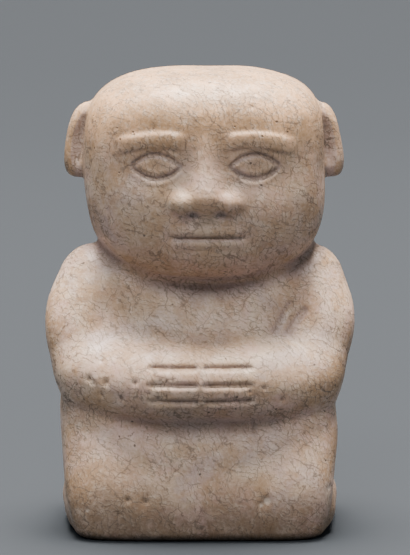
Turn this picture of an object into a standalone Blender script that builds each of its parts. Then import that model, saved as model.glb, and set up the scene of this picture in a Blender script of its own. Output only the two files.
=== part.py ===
"""Kneeling figurine, carved in the round from one block of pale stone.

The figure sits on its heels with its forearms laid across its belly and its hands meeting in the
middle. It is one solid piece: the head, ears, arms, knees and feet are all cut from the same
stone. It faces -Y, and the origin is the middle of its flat underside.

The carving goes as a carver's does. Blocks and limbs are roughed out and fused into one skin, the
skin is drawn onto the finished form, and the underside is sawn flat.
"""

import bpy
import bmesh
import numpy as np
from mathutils import Matrix

# Driving size, in metres. All other sizes are in parts, counted from the underside to the crown.
HEIGHT = 0.080
CROWN_Z = 79.2
PART = HEIGHT / CROWN_Z

# Levels, in parts above the underside.
CHIN_Z = 44.0
EAR_Z = 66.8
SHOULDER_Z = CHIN_Z - 1.3
LAP_TOP_Z = 27.5
FOREARM_Z = LAP_TOP_Z - 0.7
LAP_MIDDLE_Z = 4.0
TORSO_FOOT_Z = 14.0

# Half sizes across the figure and from front to back, in parts.
HEAD_HALF_WIDTH = 20.6
HEAD_HALF_DEPTH = 17.2
TORSO_HALF_WIDTH = 21.6
TORSO_HALF_DEPTH = 14.5
LAP_HALF_WIDTH = 24.1
LAP_HALF_DEPTH = 19.6

# Places from front to back, in parts. The front is -Y.
HEAD_Y = -0.6
TORSO_Y = 1.8
LAP_Y = -1.6
FACE_Y = HEAD_Y - HEAD_HALF_DEPTH
TORSO_FRONT_Y = TORSO_Y - TORSO_HALF_DEPTH
LAP_BACK_Y = LAP_Y + LAP_HALF_DEPTH

# How far the carver's work leans to one side, in parts: the head, the lap, the hands and
# the elbows.
HEAD_SHIFT = 0.6
LAP_SHIFT = -0.6
HAND_SHIFT = 0.3
ELBOW_SWAY = 0.6
ELBOW_SWAY_REACH = 8.0
LAP_TAPER = 0.11

# How softly neighbouring forms run into each other, in parts.
SOFT_BODY = 3.0
SOFT_ARM = 1.4
SOFT_CHEST = 7.0
SOFT_JAW = 1.8
SOFT_EAR = 0.8
SOFT_LEG = 1.8
LAP_EDGE = 9.0
KNEE_EDGE = 6.5
BASE_EDGE = 2.0

# The flat crown: the head's block reaches over the plane that trims it, and the soft edge between
# them sinks the crown a little below the plane.
CROWN_EDGE = 7.0
CROWN_OVER = 2.4
CROWN_DOME = 0.004
CROWN_SHARE = 0.5 - CROWN_OVER / (2 * CROWN_EDGE)
CROWN_SINK = CROWN_EDGE * CROWN_SHARE * (1 - CROWN_SHARE) - CROWN_OVER * CROWN_SHARE
CROWN_PLANE_Z = CROWN_Z + CROWN_SINK

# Soft blocks: middle, half sizes, how square the plan is and how square the sides are.
HEAD_TOP_Z = CROWN_PLANE_Z + CROWN_OVER
HEAD_FOOT_Z = CHIN_Z - 0.8
HEAD = dict(
    middle=(0.0, HEAD_Y, (HEAD_TOP_Z + HEAD_FOOT_Z) / 2),
    half=(HEAD_HALF_WIDTH, HEAD_HALF_DEPTH, (HEAD_TOP_Z - HEAD_FOOT_Z) / 2),
    plan=2.9,
    side=3.0,
)
TORSO_TOP_Z = CHIN_Z + 6.0
TORSO = dict(
    middle=(0.0, TORSO_Y, (TORSO_TOP_Z + TORSO_FOOT_Z) / 2),
    half=(TORSO_HALF_WIDTH, TORSO_HALF_DEPTH, (TORSO_TOP_Z - TORSO_FOOT_Z) / 2),
    plan=2.5,
    side=3.6,
)
CHEST = dict(
    middle=(0.0, TORSO_FRONT_Y - 6.8, CHIN_Z - 5.0),
    half=(TORSO_HALF_WIDTH - 5.6, 9.4, 9.4),
    plan=2.8,
    side=2.8,
)
CHEST_LEAN = 0.5
LAP = dict(
    middle=(LAP_SHIFT, LAP_Y, LAP_MIDDLE_Z),
    half=(LAP_HALF_WIDTH, LAP_HALF_DEPTH, LAP_TOP_Z - LAP_MIDDLE_Z),
    plan=5.4,
    side=7.0,
)
SEAT = dict(
    middle=(0.0, LAP_BACK_Y - 8.5, LAP_TOP_Z - 12.5),
    half=(LAP_HALF_WIDTH - 4.3, 12.0, 11.5),
    plan=2.6,
    side=2.4,
)
FOOT = dict(
    middle=(LAP_HALF_WIDTH - 13.5, LAP_BACK_Y - 1.0, 3.2), half=(8.6, 6.2, 5.4), plan=2.6, side=2.4
)
EAR = dict(
    middle=(HEAD_HALF_WIDTH - 0.6, HEAD_Y + 1.2, EAR_Z), half=(3.6, 2.9, 6.5), plan=2.2, side=3.2
)
EAR_HOLLOW = dict(
    middle=(HEAD_HALF_WIDTH + 0.5, HEAD_Y - 2.0, EAR_Z), half=(1.5, 1.3, 4.9), plan=2.0, side=2.4
)
EAR_SLANT = 0.18

# Limbs: points on the figure's left side and a radius at each, in parts.
ARM_POINTS = [
    (TORSO_HALF_WIDTH - 3.4, TORSO_FRONT_Y + 10.9, SHOULDER_Z),
    (TORSO_HALF_WIDTH - 1.1, TORSO_FRONT_Y + 7.8, SHOULDER_Z - 5.3),
    (TORSO_HALF_WIDTH - 1.8, TORSO_FRONT_Y + 5.3, FOREARM_Z + 5.1),
    (TORSO_HALF_WIDTH - 4.0, TORSO_FRONT_Y + 2.8, FOREARM_Z + 0.7),
    (TORSO_HALF_WIDTH - 12.0, TORSO_FRONT_Y - 1.1, FOREARM_Z - 0.1),
    (0.0, TORSO_FRONT_Y - 2.2, FOREARM_Z),
]
ARM_RADII = [6.3, 5.9, 5.8, 6.3, 6.0, 5.7]
SHIN_POINTS = [
    (LAP_HALF_WIDTH - 5.6, LAP_BACK_Y - 26.0, 4.1),
    (LAP_HALF_WIDTH - 5.2, LAP_BACK_Y - 14.0, 4.4),
    (LAP_HALF_WIDTH - 7.7, LAP_BACK_Y - 4.0, 4.4),
]
SHIN_RADII = [4.5, 4.9, 4.6]
LIMB_STEPS = 9
LIMB_END_TURNS = (20, 40, 60, 78)

# Planes that a block stops at: a point on the plane, and the way out. The lap's front slopes back
# to the belly, and curves in under the knees.
FLOOR = ((0.0, 0.0, -1.0), (0.0, 0.0, -1.0))
LAP_SLOPE = ((0.0, LAP_Y - LAP_HALF_DEPTH + 2.6, LAP_TOP_Z - 13.5), (0.0, -0.87, 0.5))
KNEE_SLOPE = ((0.0, LAP_Y - LAP_HALF_DEPTH + 0.3, 4.6), (0.0, -0.85, -0.53))

# The face is a plain one, laid out on the canon of thirds between crown and chin, and five eyes
# wide.
FACE_THIRD = (CROWN_Z - CHIN_Z) / 3
BROW_Z = CHIN_Z + 2 * FACE_THIRD
NOSE_Z = CHIN_Z + FACE_THIRD
MOUTH_Z = CHIN_Z + 2 * FACE_THIRD / 3
EYE_WIDTH = 2 * HEAD_HALF_WIDTH / 5
EYE_X = EYE_WIDTH
EYE_Z = BROW_Z - 3.6
EYE_HALF_HEIGHT = 1.9
MOUTH_HALF_WIDTH = 0.75 * EYE_WIDTH

NOSE_POINTS = [
    (0.0, FACE_Y + 2.4, BROW_Z - 0.5),
    (0.0, FACE_Y + 1.7, (BROW_Z + NOSE_Z) / 2 + 1.0),
    (0.0, FACE_Y + 1.2, NOSE_Z + 3.0),
]
NOSE_RADII = [2.2, 2.8, 3.5]
NOSTRIL = dict(
    middle=(3.6, FACE_Y + 0.7, NOSE_Z + 2.2), half=(2.5, 2.5, 2.1), plan=2.0, side=2.0
)

# The hands: four fingers each, parted by cuts, and the forearm's half height at the hands.
FINGER_PITCH = 2.75
FINGER_TOP_Z = FOREARM_Z + 3.3
FINGER_CUT_REACH = 7.9
HAND_HALF_HEIGHT = ARM_RADII[-1] - 0.6
SPINE_FOOT_Z = LAP_TOP_Z - 7.5
SPINE_TOP_Z = CHIN_Z + 3.0

# Hand work: how far the carver's line wanders from true, and over what length.
WANDER = 0.2
WANDER_LENGTH = 31.0

# The mesh, in parts: the skin's spacing, and how far below the sawn underside the skin reaches.
SKIN_SPACING = 0.52
SAW_DEPTH = 0.12
MOST_TRIANGLES = 9400

STONE_COLOUR = (0.62, 0.51, 0.43, 1.0)
STONE_ROUGHNESS = 0.48


# Small helpers for points and soft joins

def smoothstep(low, high, value):
    """0 below low, 1 above high, and an even slope between."""
    t = np.clip((value - low) / (high - low), 0.0, 1.0)
    return t * t * (3 - 2 * t)


def bell(distance, width):
    """A soft bump of height 1 that fades out at about twice the width."""
    return np.exp(-((distance / width) ** 2))


def join(a, b, soft):
    """The union of two forms, with the corner between them filled over the soft distance."""
    h = np.clip(0.5 + 0.5 * (b - a) / soft, 0.0, 1.0)
    return b + (a - b) * h - soft * h * (1 - h)


def trim(a, b, soft):
    """What two forms have in common, with the edge between them rounded."""
    return -join(-a, -b, soft)


def smooth_path(points, steps):
    """Points on a Catmull-Rom curve through the given points."""
    nodes = np.array([points[0]] + list(points) + [points[-1]], float)
    found = []
    for i in range(1, len(nodes) - 2):
        before, start, end, after = nodes[i - 1 : i + 3]
        for t in np.linspace(0, 1, steps, endpoint=False):
            found.append(
                0.5
                * (
                    2 * start
                    + (end - before) * t
                    + (2 * before - 5 * start + 4 * end - after) * t**2
                    + (3 * start - before - 3 * end + after) * t**3
                )
            )
    return np.array(found + [nodes[-2]])


def smooth_limb(points, radii):
    """A limb's centre line and its radius at each point of it."""
    known = np.linspace(0, 1, len(radii))
    path = smooth_path(points, LIMB_STEPS)
    return path, np.interp(np.linspace(0, 1, len(path)), known, radii)


ARM = smooth_limb(ARM_POINTS, ARM_RADII)
FOREARM = [row[3 * LIMB_STEPS :] for row in ARM]
SHIN = smooth_limb(SHIN_POINTS, SHIN_RADII)
NOSE = smooth_limb(NOSE_POINTS, NOSE_RADII)


# Distances from the forms, negative inside, for rows of points in parts

def from_block(p, form):
    """Distance from a soft block, measured towards its middle."""
    q = (p - np.array(form["middle"])) / np.array(form["half"])
    plan, side = form["plan"], form["side"]
    flat = (np.abs(q[:, 0]) ** plan + np.abs(q[:, 1]) ** plan) ** (1 / plan)
    size = (flat**side + np.abs(q[:, 2]) ** side) ** (1 / side)
    reach = np.linalg.norm(p - np.array(form["middle"]), axis=1)
    return reach * (1 - 1 / np.maximum(size, 1e-3))


def from_limb(p, limb):
    """Distance from a round limb whose thickness changes along its path."""
    path, radii = limb
    nearest = np.full(len(p), 1e9)
    for start, end, r0, r1 in zip(path[:-1], path[1:], radii[:-1], radii[1:]):
        along = end - start
        t = np.clip((p - start) @ along / (along @ along), 0.0, 1.0)
        gap = np.linalg.norm(p - start - t[:, None] * along, axis=1)
        nearest = np.minimum(nearest, gap - (r0 + (r1 - r0) * t))
    return nearest


def beyond(p, plane):
    """How far points lie past a plane, on its outer side."""
    at, way = np.array(plane[0]), np.array(plane[1])
    return (p - at) @ (way / np.linalg.norm(way))


def mirrored(p):
    """The same points folded onto the figure's left side."""
    return np.column_stack([np.abs(p[:, 0]), p[:, 1], p[:, 2]])


def ears(p):
    """Two lobes that lean out below, dished towards the front."""
    leaning = p + EAR_SLANT * (p[:, 2:] - EAR_Z) * np.array([1.0, 0.0, 0.0])
    lobe = from_block(leaning, EAR)
    return trim(lobe, -from_block(leaning, EAR_HOLLOW), 0.9)


def head(p):
    """Broad head with a flat crown, a full jaw, a wide nose and ears that stand out."""
    p = p - np.array([HEAD_SHIFT, 0.0, 0.0])
    side = mirrored(p)
    dome = CROWN_DOME * (p[:, 0] ** 2 + p[:, 1] ** 2)
    skull = trim(from_block(p, HEAD), p[:, 2] + dome - CROWN_PLANE_Z, CROWN_EDGE)
    nose = join(from_limb(p, NOSE), from_block(side, NOSTRIL), 1.0)
    skull = join(skull, nose, 1.2)
    return join(skull, ears(side), SOFT_EAR)


def legs(p, side):
    """The block of the lap and knees, the shins folded beside it, the seat and the feet."""
    narrowing = 1 - LAP_TAPER * (1 - np.clip(p[:, 2] / LAP_TOP_Z, 0.0, 1.0)) ** 2
    lap = from_block(np.column_stack([p[:, 0] / narrowing, p[:, 1], p[:, 2]]), LAP)
    lap = trim(lap, beyond(p, LAP_SLOPE), LAP_EDGE)
    lap = trim(lap, beyond(p, KNEE_SLOPE), KNEE_EDGE)
    block = join(lap, from_block(p, SEAT), SOFT_BODY)
    block = join(block, from_limb(side, SHIN), SOFT_LEG)
    return join(block, from_block(side, FOOT), SOFT_LEG)


def wandered(p):
    """Points moved a little to and fro, so that the two halves aren't a mirror's."""
    turn = 2 * np.pi * p / WANDER_LENGTH
    sway = ELBOW_SWAY * bell(p[:, 2] - FOREARM_Z, ELBOW_SWAY_REACH)
    across = WANDER * (np.sin(turn[:, 2] + 0.6) + np.sin(1.3 * turn[:, 1] + 1.9))
    back = WANDER * (np.sin(turn[:, 0] + 2.2) + np.sin(0.9 * turn[:, 2] + 0.3))
    return p + np.column_stack([across + sway, back, np.zeros(len(p))])


def figure(p):
    """The whole form without its relief."""
    side = mirrored(p)
    leaning = p - CHEST_LEAN * (p[:, 2:] - CHEST["middle"][2]) * np.array([0.0, 1.0, 0.0])
    torso = trim(from_block(p, TORSO), -from_block(leaning, CHEST), SOFT_BODY)
    torso = join(torso, from_limb(side, FOREARM), SOFT_CHEST)
    trunk = join(torso, legs(p, side), SOFT_BODY)
    trunk = join(trunk, from_limb(side, ARM), SOFT_ARM)
    return join(trunk, head(p), SOFT_JAW)


# Relief, as heights in parts above the form

def face_relief(x, z):
    """Brow bands, almond eyes, a closed mouth, cheeks and chin."""
    side = np.abs(x)
    brow_line = BROW_Z + 0.9 - 0.024 * (side - 0.9 * EYE_X) ** 2
    brow_ends = smoothstep(2.8, 5.2, side) * (1 - smoothstep(13.0, 16.0, side))
    brow = 0.5 * brow_ends * (1 - smoothstep(0.9, 1.9, np.abs(z - brow_line)))
    across = (side - EYE_X) / (EYE_WIDTH / 2)
    lid = EYE_HALF_HEIGHT * (1 - across**2)
    edge = np.abs(z - EYE_Z) - lid
    socket = -0.8 * bell(np.hypot(across / 1.35, (z - EYE_Z) / 3.2), 1.0)
    ball = 0.5 * (1 - smoothstep(-0.9, 0.1, edge))
    rim = -0.3 * bell(edge - 0.15, 0.4) * (1 - smoothstep(1.0, 1.15, np.abs(across)))
    lip_ends = 1 - smoothstep(MOUTH_HALF_WIDTH - 1.2, MOUTH_HALF_WIDTH + 0.4, side)
    slit = -0.8 * bell(z - MOUTH_Z, 0.55) * lip_ends
    lips = 0.5 * lip_ends * bell(z - MOUTH_Z, 2.4)
    cheek = 0.5 * bell(np.hypot(side - 11.5, z - NOSE_Z - 0.5), 5.5)
    chin = 0.7 * bell(np.hypot(side / 1.5, z - CHIN_Z - 3.6), 3.4)
    return brow + socket + ball + rim + slit + lips + cheek + chin


def hand_relief(x, z):
    """Four fingers on each hand, parted by three cuts, with a seam where the hands meet."""
    side = np.abs(x)
    reach = smoothstep(0.25, 0.8, side)
    reach *= 1 - smoothstep(FINGER_CUT_REACH, FINGER_CUT_REACH + 1.4, side)
    cuts = sum(bell(z - FINGER_TOP_Z + i * FINGER_PITCH, 0.6) for i in range(3))
    on_hand = 1 - smoothstep(HAND_HALF_HEIGHT - 2.0, HAND_HALF_HEIGHT, np.abs(z - FOREARM_Z))
    return -0.6 * reach * cuts - 0.4 * bell(side, 0.55) * on_hand


def relief(p):
    """All relief on the front, and a shallow furrow down the back."""
    x, y, z = p.T
    front = smoothstep(3.0, 9.0, -y)
    on_face = front * smoothstep(CHIN_Z - 1.0, CHIN_Z + 1.5, z)
    on_hands = front * (1 - smoothstep(CHIN_Z - 10.0, CHIN_Z - 9.0, z))
    spine = -0.9 * bell(x, 2.4) * smoothstep(TORSO_Y + 6.2, TORSO_Y + 10.2, y)
    spine *= smoothstep(SPINE_FOOT_Z, SPINE_FOOT_Z + 8.0, z)
    spine *= 1 - smoothstep(SPINE_TOP_Z - 5.0, SPINE_TOP_Z, z)
    face = on_face * face_relief(x - HEAD_SHIFT, z)
    return face + on_hands * hand_relief(x - HAND_SHIFT, z) + spine


def surface(p):
    """Distance from the finished surface."""
    bent = wandered(p)
    return trim(figure(bent) - relief(bent), -SAW_DEPTH - p[:, 2], BASE_EDGE)


# The mesh

def clear_scene():
    for obj in list(bpy.data.objects):
        bpy.data.objects.remove(obj, do_unlink=True)


def add_rough_block(form, flip=False, planes=(FLOOR,)):
    """A cube, subdivided and drawn out to a soft block that stops at the given planes."""
    mesh = bpy.data.meshes.new("rough")
    bm = bmesh.new()
    bmesh.ops.create_cube(bm, size=2.0)
    bmesh.ops.subdivide_edges(bm, edges=bm.edges[:], cuts=7, use_grid_fill=True)
    middle, half = np.array(form["middle"]), np.array(form["half"])
    for vertex in bm.verts:
        q = np.array(vertex.co)
        flat = (abs(q[0]) ** form["plan"] + abs(q[1]) ** form["plan"]) ** (1 / form["plan"])
        size = (flat ** form["side"] + abs(q[2]) ** form["side"]) ** (1 / form["side"])
        place = middle + half * q / size
        for plane in planes:
            way = np.array(plane[1]) / np.linalg.norm(plane[1])
            place = place - max(0.0, beyond(place, plane)) * way
        place = place * PART
        vertex.co = (-place[0] if flip else place[0], place[1], place[2])
    if flip:
        bmesh.ops.reverse_faces(bm, faces=bm.faces[:])
    bm.to_mesh(mesh)
    bm.free()
    return link(mesh)


def with_round_ends(limb):
    """The limb's path and radii, closed by half a ball at each end."""
    path, radii = limb
    turns = np.radians(LIMB_END_TURNS)[:, None]
    first_way = (path[0] - path[1]) / np.linalg.norm(path[0] - path[1])
    last_way = (path[-1] - path[-2]) / np.linalg.norm(path[-1] - path[-2])
    first = path[0] + radii[0] * np.sin(turns[::-1]) * first_way
    last = path[-1] + radii[-1] * np.sin(turns) * last_way
    narrowing = np.cos(turns[:, 0])
    widths = np.concatenate([radii[0] * narrowing[::-1], radii, radii[-1] * narrowing])
    return np.vstack([first, path, last]), widths


def add_rough_limb(limb, flip=False):
    """A round limb: a curve with a bevel, thicker and thinner along its path."""
    curve = bpy.data.curves.new("rough", "CURVE")
    curve.dimensions = "3D"
    curve.bevel_depth = PART
    curve.bevel_resolution = 4
    curve.use_fill_caps = True
    spline = curve.splines.new("POLY")
    path, radii = with_round_ends(limb)
    spline.points.add(len(path) - 1)
    for point, place, radius in zip(spline.points, path * PART, radii):
        point.co = (-place[0] if flip else place[0], place[1], place[2], 1.0)
        point.radius = radius
    return link(curve)


def link(data):
    obj = bpy.data.objects.new("rough", data)
    bpy.context.scene.collection.objects.link(obj)
    return obj


def evaluated_mesh(obj):
    """The object's mesh with its modifiers, as a new mesh in its own right."""
    bpy.context.view_layer.update()
    graph = bpy.context.evaluated_depsgraph_get()
    return bpy.data.meshes.new_from_object(obj.evaluated_get(graph))


def rough_out():
    """All blocks and limbs fused into one even skin."""
    roughs = [add_rough_block(form) for form in (HEAD, TORSO, SEAT)]
    roughs += [add_rough_block(LAP, planes=(FLOOR, LAP_SLOPE, KNEE_SLOPE)), add_rough_limb(NOSE)]
    for flip in (False, True):
        roughs += [add_rough_block(form, flip) for form in (FOOT, EAR, NOSTRIL)]
        roughs += [add_rough_limb(limb, flip) for limb in (ARM, SHIN)]
    gathered = bmesh.new()
    for rough in roughs:
        mesh = evaluated_mesh(rough)
        gathered.from_mesh(mesh)
        bpy.data.meshes.remove(mesh)
        bpy.data.objects.remove(rough, do_unlink=True)
    mesh = bpy.data.meshes.new("skin")
    gathered.to_mesh(mesh)
    gathered.free()
    skin = link(mesh)
    remesh = skin.modifiers.new("fuse", "REMESH")
    remesh.mode = "VOXEL"
    remesh.voxel_size = SKIN_SPACING * PART
    fused = evaluated_mesh(skin)
    bpy.data.objects.remove(skin, do_unlink=True)
    return fused


def relaxed(points, edges, share=0.5):
    """Each point moved part of the way to the middle of its neighbours."""
    total = np.zeros_like(points)
    count = np.zeros(len(points))
    for near, far in (edges.T, edges.T[::-1]):
        for axis in range(3):
            total[:, axis] += np.bincount(near, points[far, axis], len(points))
        count += np.bincount(near, minlength=len(points))
    return points + share * (total / count[:, None] - points)


def draw_onto_form(mesh, rounds=8):
    """Moves each point of the skin along the form's slope until it lies on the surface."""
    points = np.empty(len(mesh.vertices) * 3)
    mesh.vertices.foreach_get("co", points)
    points = points.reshape(-1, 3) / PART
    edges = np.empty(len(mesh.edges) * 2, np.int32)
    mesh.edges.foreach_get("vertices", edges)
    edges = edges.reshape(-1, 2)
    probe = 0.04
    for turn in range(rounds):
        if turn < rounds - 2:
            points = relaxed(points, edges)
        here = surface(points)
        slope = np.column_stack(
            [surface(points + probe * axis) - here for axis in np.eye(3)]
        ) / probe
        steep = np.maximum(np.linalg.norm(slope, axis=1), 0.4)
        step = np.clip(here / steep, -1.2, 1.2)
        points -= (step / steep)[:, None] * slope
    mesh.vertices.foreach_set("co", (points * PART).ravel())
    mesh.update()


def saw_underside(mesh):
    """Cuts the skin flat at the underside, and closes it with one face."""
    bm = bmesh.new()
    bm.from_mesh(mesh)
    everything = bm.verts[:] + bm.edges[:] + bm.faces[:]
    cut = bmesh.ops.bisect_plane(
        bm,
        geom=everything,
        dist=1e-7,
        plane_co=(0, 0, 0),
        plane_no=(0, 0, 1),
        clear_inner=True,
    )
    rim = [e for e in cut["geom_cut"] if isinstance(e, bmesh.types.BMEdge)]
    bmesh.ops.holes_fill(bm, edges=rim)
    bmesh.ops.recalc_face_normals(bm, faces=bm.faces[:])
    bm.to_mesh(mesh)
    bm.free()


def thin_out(obj):
    """Keeps small triangles on the carving and larger ones on the plain surfaces."""
    obj.data.calc_loop_triangles()
    decimate = obj.modifiers.new("thin_out", "DECIMATE")
    decimate.ratio = min(1.0, MOST_TRIANGLES / len(obj.data.loop_triangles))


def stand_on_origin(mesh):
    """Levels the underside, and puts the origin at the middle of the figure's box, at its foot."""
    for vertex in mesh.vertices:
        if vertex.co.z < SAW_DEPTH * PART / 2:
            vertex.co.z = 0.0
    points = np.array([v.co for v in mesh.vertices])
    middle = (points.min(axis=0) + points.max(axis=0)) / 2
    mesh.transform(Matrix.Translation((-middle[0], -middle[1], 0.0)))


def stone():
    material = bpy.data.materials.new("pale_stone")
    material.use_nodes = True
    shader = material.node_tree.nodes["Principled BSDF"]
    shader.inputs["Base Color"].default_value = STONE_COLOUR
    shader.inputs["Roughness"].default_value = STONE_ROUGHNESS
    shader.inputs["Metallic"].default_value = 0.0
    return material


def main():
    clear_scene()
    mesh = rough_out()
    draw_onto_form(mesh)
    saw_underside(mesh)
    obj = link(mesh)
    thin_out(obj)
    thinned = evaluated_mesh(obj)
    bpy.data.objects.remove(obj, do_unlink=True)
    stand_on_origin(thinned)
    thinned.shade_smooth()
    thinned.set_sharp_from_angle(angle=np.radians(50))
    thinned.materials.append(stone())
    figurine = link(thinned)
    figurine.name = "kneeling_figurine"
    thinned.name = "kneeling_figurine"


main()
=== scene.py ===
"""Kneeling figurine of pale, crackled stone: its fine carving, finish, light and camera.

The one piece repeats the solid's form, in the same parts, with finer carving and wear.
"""

import math

import bmesh
import bpy
import numpy as np
from mathutils import Matrix, Vector


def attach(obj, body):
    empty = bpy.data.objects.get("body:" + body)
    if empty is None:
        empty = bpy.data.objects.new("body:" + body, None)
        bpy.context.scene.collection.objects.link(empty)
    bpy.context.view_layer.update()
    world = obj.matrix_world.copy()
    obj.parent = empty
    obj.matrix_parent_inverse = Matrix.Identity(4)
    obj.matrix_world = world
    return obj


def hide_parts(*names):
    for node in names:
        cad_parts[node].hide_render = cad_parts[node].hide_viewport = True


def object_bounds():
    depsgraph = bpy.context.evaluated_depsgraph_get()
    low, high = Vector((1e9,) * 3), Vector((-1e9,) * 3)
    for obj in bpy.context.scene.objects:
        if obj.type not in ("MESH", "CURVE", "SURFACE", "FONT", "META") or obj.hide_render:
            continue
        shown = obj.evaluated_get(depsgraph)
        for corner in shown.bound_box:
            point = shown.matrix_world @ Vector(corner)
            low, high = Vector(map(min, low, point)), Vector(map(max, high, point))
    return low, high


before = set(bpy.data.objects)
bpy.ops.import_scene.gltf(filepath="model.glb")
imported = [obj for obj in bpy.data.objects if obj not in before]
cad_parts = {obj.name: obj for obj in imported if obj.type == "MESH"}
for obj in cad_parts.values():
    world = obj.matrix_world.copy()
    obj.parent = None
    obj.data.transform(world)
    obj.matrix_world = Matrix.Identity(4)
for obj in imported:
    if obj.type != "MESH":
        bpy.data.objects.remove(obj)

NODE = "kneeling_figurine"
CAD_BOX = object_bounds()

# Driving size, in metres. All other sizes are in parts, counted from the underside to the crown.
HEIGHT = 0.080
CROWN_Z = 79.2
PART = HEIGHT / CROWN_Z

# Levels, in parts above the underside.
CHIN_Z = 44.0
EAR_Z = 66.8
SHOULDER_Z = CHIN_Z - 1.3
LAP_TOP_Z = 27.5
FOREARM_Z = LAP_TOP_Z - 0.7
LAP_MIDDLE_Z = 4.0
TORSO_FOOT_Z = 14.0

# Half sizes across the figure and from front to back, in parts.
HEAD_HALF_WIDTH = 20.6
HEAD_HALF_DEPTH = 17.2
TORSO_HALF_WIDTH = 21.6
TORSO_HALF_DEPTH = 14.5
LAP_HALF_WIDTH = 24.1
LAP_HALF_DEPTH = 19.6

# Places from front to back, in parts. The front is -Y.
HEAD_Y = -0.6
TORSO_Y = 1.8
LAP_Y = -1.6
FACE_Y = HEAD_Y - HEAD_HALF_DEPTH
TORSO_FRONT_Y = TORSO_Y - TORSO_HALF_DEPTH
LAP_BACK_Y = LAP_Y + LAP_HALF_DEPTH

# How far the carver's work leans to one side, in parts: the head, the lap, the hands and
# the elbows.
HEAD_SHIFT = 0.6
LAP_SHIFT = -0.6
HAND_SHIFT = 0.3
ELBOW_SWAY = 0.6
ELBOW_SWAY_REACH = 8.0
LAP_TAPER = 0.11

# How softly neighbouring forms run into each other, in parts.
SOFT_BODY = 3.0
SOFT_ARM = 1.4
SOFT_CHEST = 7.0
SOFT_JAW = 1.8
SOFT_EAR = 0.8
SOFT_EAR_RIM = 0.9
SOFT_NOSTRIL = 1.0
SOFT_NOSE = 1.2
SOFT_LEG = 1.8
LAP_EDGE = 9.0
KNEE_EDGE = 6.5
BASE_EDGE = 2.0

# The flat crown: the head's block reaches over the plane that trims it, and the soft edge between
# them sinks the crown a little below the plane.
CROWN_EDGE = 7.0
CROWN_OVER = 2.4
CROWN_DOME = 0.004
CROWN_SHARE = 0.5 - CROWN_OVER / (2 * CROWN_EDGE)
CROWN_SINK = CROWN_EDGE * CROWN_SHARE * (1 - CROWN_SHARE) - CROWN_OVER * CROWN_SHARE
CROWN_PLANE_Z = CROWN_Z + CROWN_SINK

# Soft blocks: middle, half sizes, how square the plan is and how square the sides are.
HEAD_TOP_Z = CROWN_PLANE_Z + CROWN_OVER
HEAD_FOOT_Z = CHIN_Z - 0.8
HEAD = dict(
    middle=(0.0, HEAD_Y, (HEAD_TOP_Z + HEAD_FOOT_Z) / 2),
    half=(HEAD_HALF_WIDTH, HEAD_HALF_DEPTH, (HEAD_TOP_Z - HEAD_FOOT_Z) / 2),
    plan=2.9,
    side=3.0,
)
TORSO_TOP_Z = CHIN_Z + 6.0
TORSO = dict(
    middle=(0.0, TORSO_Y, (TORSO_TOP_Z + TORSO_FOOT_Z) / 2),
    half=(TORSO_HALF_WIDTH, TORSO_HALF_DEPTH, (TORSO_TOP_Z - TORSO_FOOT_Z) / 2),
    plan=2.5,
    side=3.6,
)
CHEST = dict(
    middle=(0.0, TORSO_FRONT_Y - 6.8, CHIN_Z - 5.0),
    half=(TORSO_HALF_WIDTH - 5.6, 9.4, 9.4),
    plan=2.8,
    side=2.8,
)
CHEST_LEAN = 0.5
LAP = dict(
    middle=(LAP_SHIFT, LAP_Y, LAP_MIDDLE_Z),
    half=(LAP_HALF_WIDTH, LAP_HALF_DEPTH, LAP_TOP_Z - LAP_MIDDLE_Z),
    plan=5.4,
    side=7.0,
)
SEAT = dict(
    middle=(0.0, LAP_BACK_Y - 8.5, LAP_TOP_Z - 12.5),
    half=(LAP_HALF_WIDTH - 4.3, 12.0, 11.5),
    plan=2.6,
    side=2.4,
)
FOOT = dict(
    middle=(LAP_HALF_WIDTH - 13.5, LAP_BACK_Y - 1.0, 3.2), half=(8.6, 6.2, 5.4), plan=2.6, side=2.4
)
EAR = dict(
    middle=(HEAD_HALF_WIDTH - 0.6, HEAD_Y + 1.2, EAR_Z), half=(3.6, 2.9, 6.5), plan=2.2, side=3.2
)
EAR_HOLLOW = dict(
    middle=(HEAD_HALF_WIDTH + 0.5, HEAD_Y - 2.0, EAR_Z), half=(1.5, 1.3, 4.9), plan=2.0, side=2.4
)
EAR_SLANT = 0.18

# Limbs: points on the figure's left side and a radius at each, in parts.
ARM_POINTS = [
    (TORSO_HALF_WIDTH - 3.4, TORSO_FRONT_Y + 10.9, SHOULDER_Z),
    (TORSO_HALF_WIDTH - 1.1, TORSO_FRONT_Y + 7.8, SHOULDER_Z - 5.3),
    (TORSO_HALF_WIDTH - 1.8, TORSO_FRONT_Y + 5.3, FOREARM_Z + 5.1),
    (TORSO_HALF_WIDTH - 4.0, TORSO_FRONT_Y + 2.8, FOREARM_Z + 0.7),
    (TORSO_HALF_WIDTH - 12.0, TORSO_FRONT_Y - 1.1, FOREARM_Z - 0.1),
    (0.0, TORSO_FRONT_Y - 2.2, FOREARM_Z),
]
ARM_RADII = [6.3, 5.9, 5.8, 6.3, 6.0, 5.7]
SHIN_POINTS = [
    (LAP_HALF_WIDTH - 5.6, LAP_BACK_Y - 26.0, 4.1),
    (LAP_HALF_WIDTH - 5.2, LAP_BACK_Y - 14.0, 4.4),
    (LAP_HALF_WIDTH - 7.7, LAP_BACK_Y - 4.0, 4.4),
]
SHIN_RADII = [4.5, 4.9, 4.6]
LIMB_STEPS = 9

# Planes that a block stops at: a point on the plane, and the way out. The lap's front slopes back
# to the belly, and curves in under the knees.
LAP_SLOPE = ((0.0, LAP_Y - LAP_HALF_DEPTH + 2.6, LAP_TOP_Z - 13.5), (0.0, -0.87, 0.5))
KNEE_SLOPE = ((0.0, LAP_Y - LAP_HALF_DEPTH + 0.3, 4.6), (0.0, -0.85, -0.53))

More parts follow.
